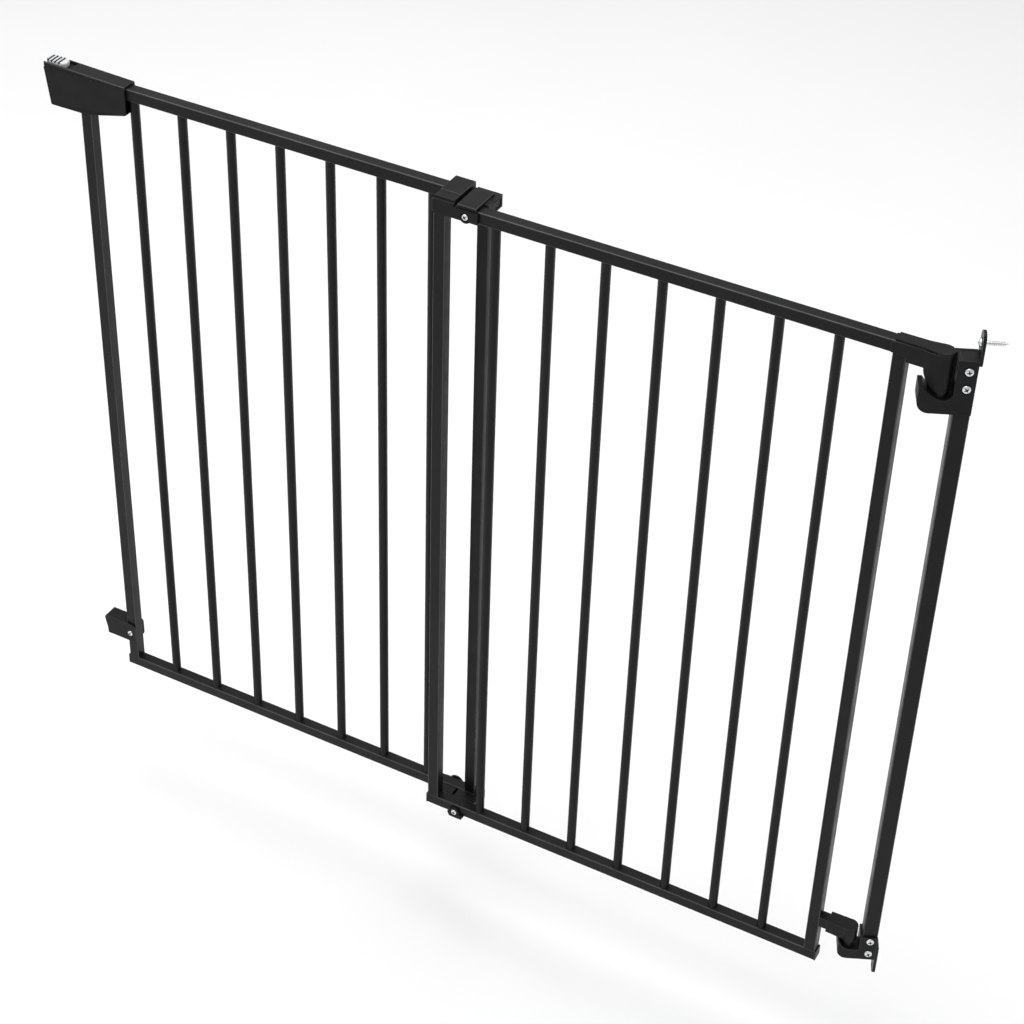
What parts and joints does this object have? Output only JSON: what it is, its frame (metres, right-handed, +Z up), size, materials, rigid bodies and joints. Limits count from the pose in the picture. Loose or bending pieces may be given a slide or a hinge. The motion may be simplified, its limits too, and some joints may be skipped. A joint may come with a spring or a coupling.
{
  "type": "safety baby gate",
  "caption": "Wall-mounted child safety gate of two barred steel panels that slide past each other to fit a doorway, with a lift-off hinge and a thumb-button latch.",
  "frame": {"origin": "centre of the lower wall hole, on the back face of the lower wall plate, which is the face of the wall", "axes": "+X into the wall, along both wall holes, +Z up, +Y away from the side that the gate's front panel faces when it is shut. At rest the gate stands 25 degrees open."},
  "size_m": [0.898, 0.4394, 0.79],
  "materials": {
    "powder_coat": "satin black powder coat on steel tube",
    "black_plastic": "fine-grained black moulded plastic",
    "button_plastic": "light grey moulded plastic",
    "nylon": "natural nylon",
    "zinc_screw": "bright zinc plating",
    "spring_steel": "drawn spring wire"
  },
  "bodies": {
    "wall_frame": {"wall_post": "powder_coat", "wall_post_cap": "black_plastic", "upper_wall_bracket": "black_plastic", "lower_wall_bracket": "black_plastic", "upper_wall_plate": "powder_coat", "lower_wall_plate": "powder_coat", "bracket_screws": "zinc_screw", "wall_screw": "zinc_screw"},
    "hinge_bushes": {"upper_hinge_bush": "nylon", "lower_hinge_bush": "nylon"},
    "hinge_panel": {"hinge_top_rail": "powder_coat", "hinge_bottom_rail": "powder_coat", "hinge_left_upright": "powder_coat", "hinge_right_upright": "powder_coat", "hinge_bar_1": "powder_coat", "hinge_bar_2": "powder_coat", "hinge_bar_3": "powder_coat", "hinge_bar_4": "powder_coat", "hinge_bar_5": "powder_coat", "hinge_bar_6": "powder_coat", "hinge_bar_7": "powder_coat", "hinge_rail_plugs": "black_plastic", "upper_hinge_arm": "black_plastic", "upper_hinge_cover": "black_plastic", "lower_hinge_arm": "black_plastic", "upper_hinge_pin": "zinc_screw", "lower_hinge_pin": "zinc_screw", "top_guide": "black_plastic", "bottom_guide": "black_plastic", "guide_screws": "zinc_screw", "width_lock_screws": "zinc_screw"},
    "latch_panel": {"latch_top_rail": "powder_coat", "latch_bottom_rail": "powder_coat", "latch_left_upright": "powder_coat", "latch_right_upright": "powder_coat", "latch_bar_1": "powder_coat", "latch_bar_2": "powder_coat", "latch_bar_3": "powder_coat", "latch_bar_4": "powder_coat", "latch_bar_5": "powder_coat", "latch_bar_6": "powder_coat", "latch_bar_7": "powder_coat", "latch_rail_plugs": "black_plastic", "top_slide_cap": "black_plastic", "bottom_slide_cap": "black_plastic", "latch_housing_front": "black_plastic", "latch_housing_rear": "black_plastic", "latch_cover": "black_plastic", "housing_screws": "zinc_screw", "catch_block": "black_plastic", "catch_block_screw": "zinc_screw", "latch_spring": "spring_steel"},
    "latch_slider": {"latch_button": "button_plastic", "latch_slider": "black_plastic"}
  },
  "joints": [
    {"name": "lift", "type": "slide", "parent": "wall_frame", "child": "hinge_bushes", "axis": [0, 0, 1], "range_m": [0, 0.01]},
    {"name": "swing", "type": "hinge", "parent": "hinge_bushes", "child": "hinge_panel", "pos_m": [-0.0315, 0, 0.37], "axis": [0, 0, 1], "range_deg": [-60, 115]},
    {"name": "width", "type": "slide", "parent": "hinge_panel", "child": "latch_panel", "axis": [0.9063, -0.4226, 0], "range_m": [0, 0.35]},
    {"name": "latch", "type": "slide", "parent": "latch_panel", "child": "latch_slider", "axis": [0.9063, -0.4226, 0], "range_m": [0, 0.007], "stiffness_N_per_m": 400, "springref_m": -0.01, "deforming": ["latch_spring"]}
  ]
}
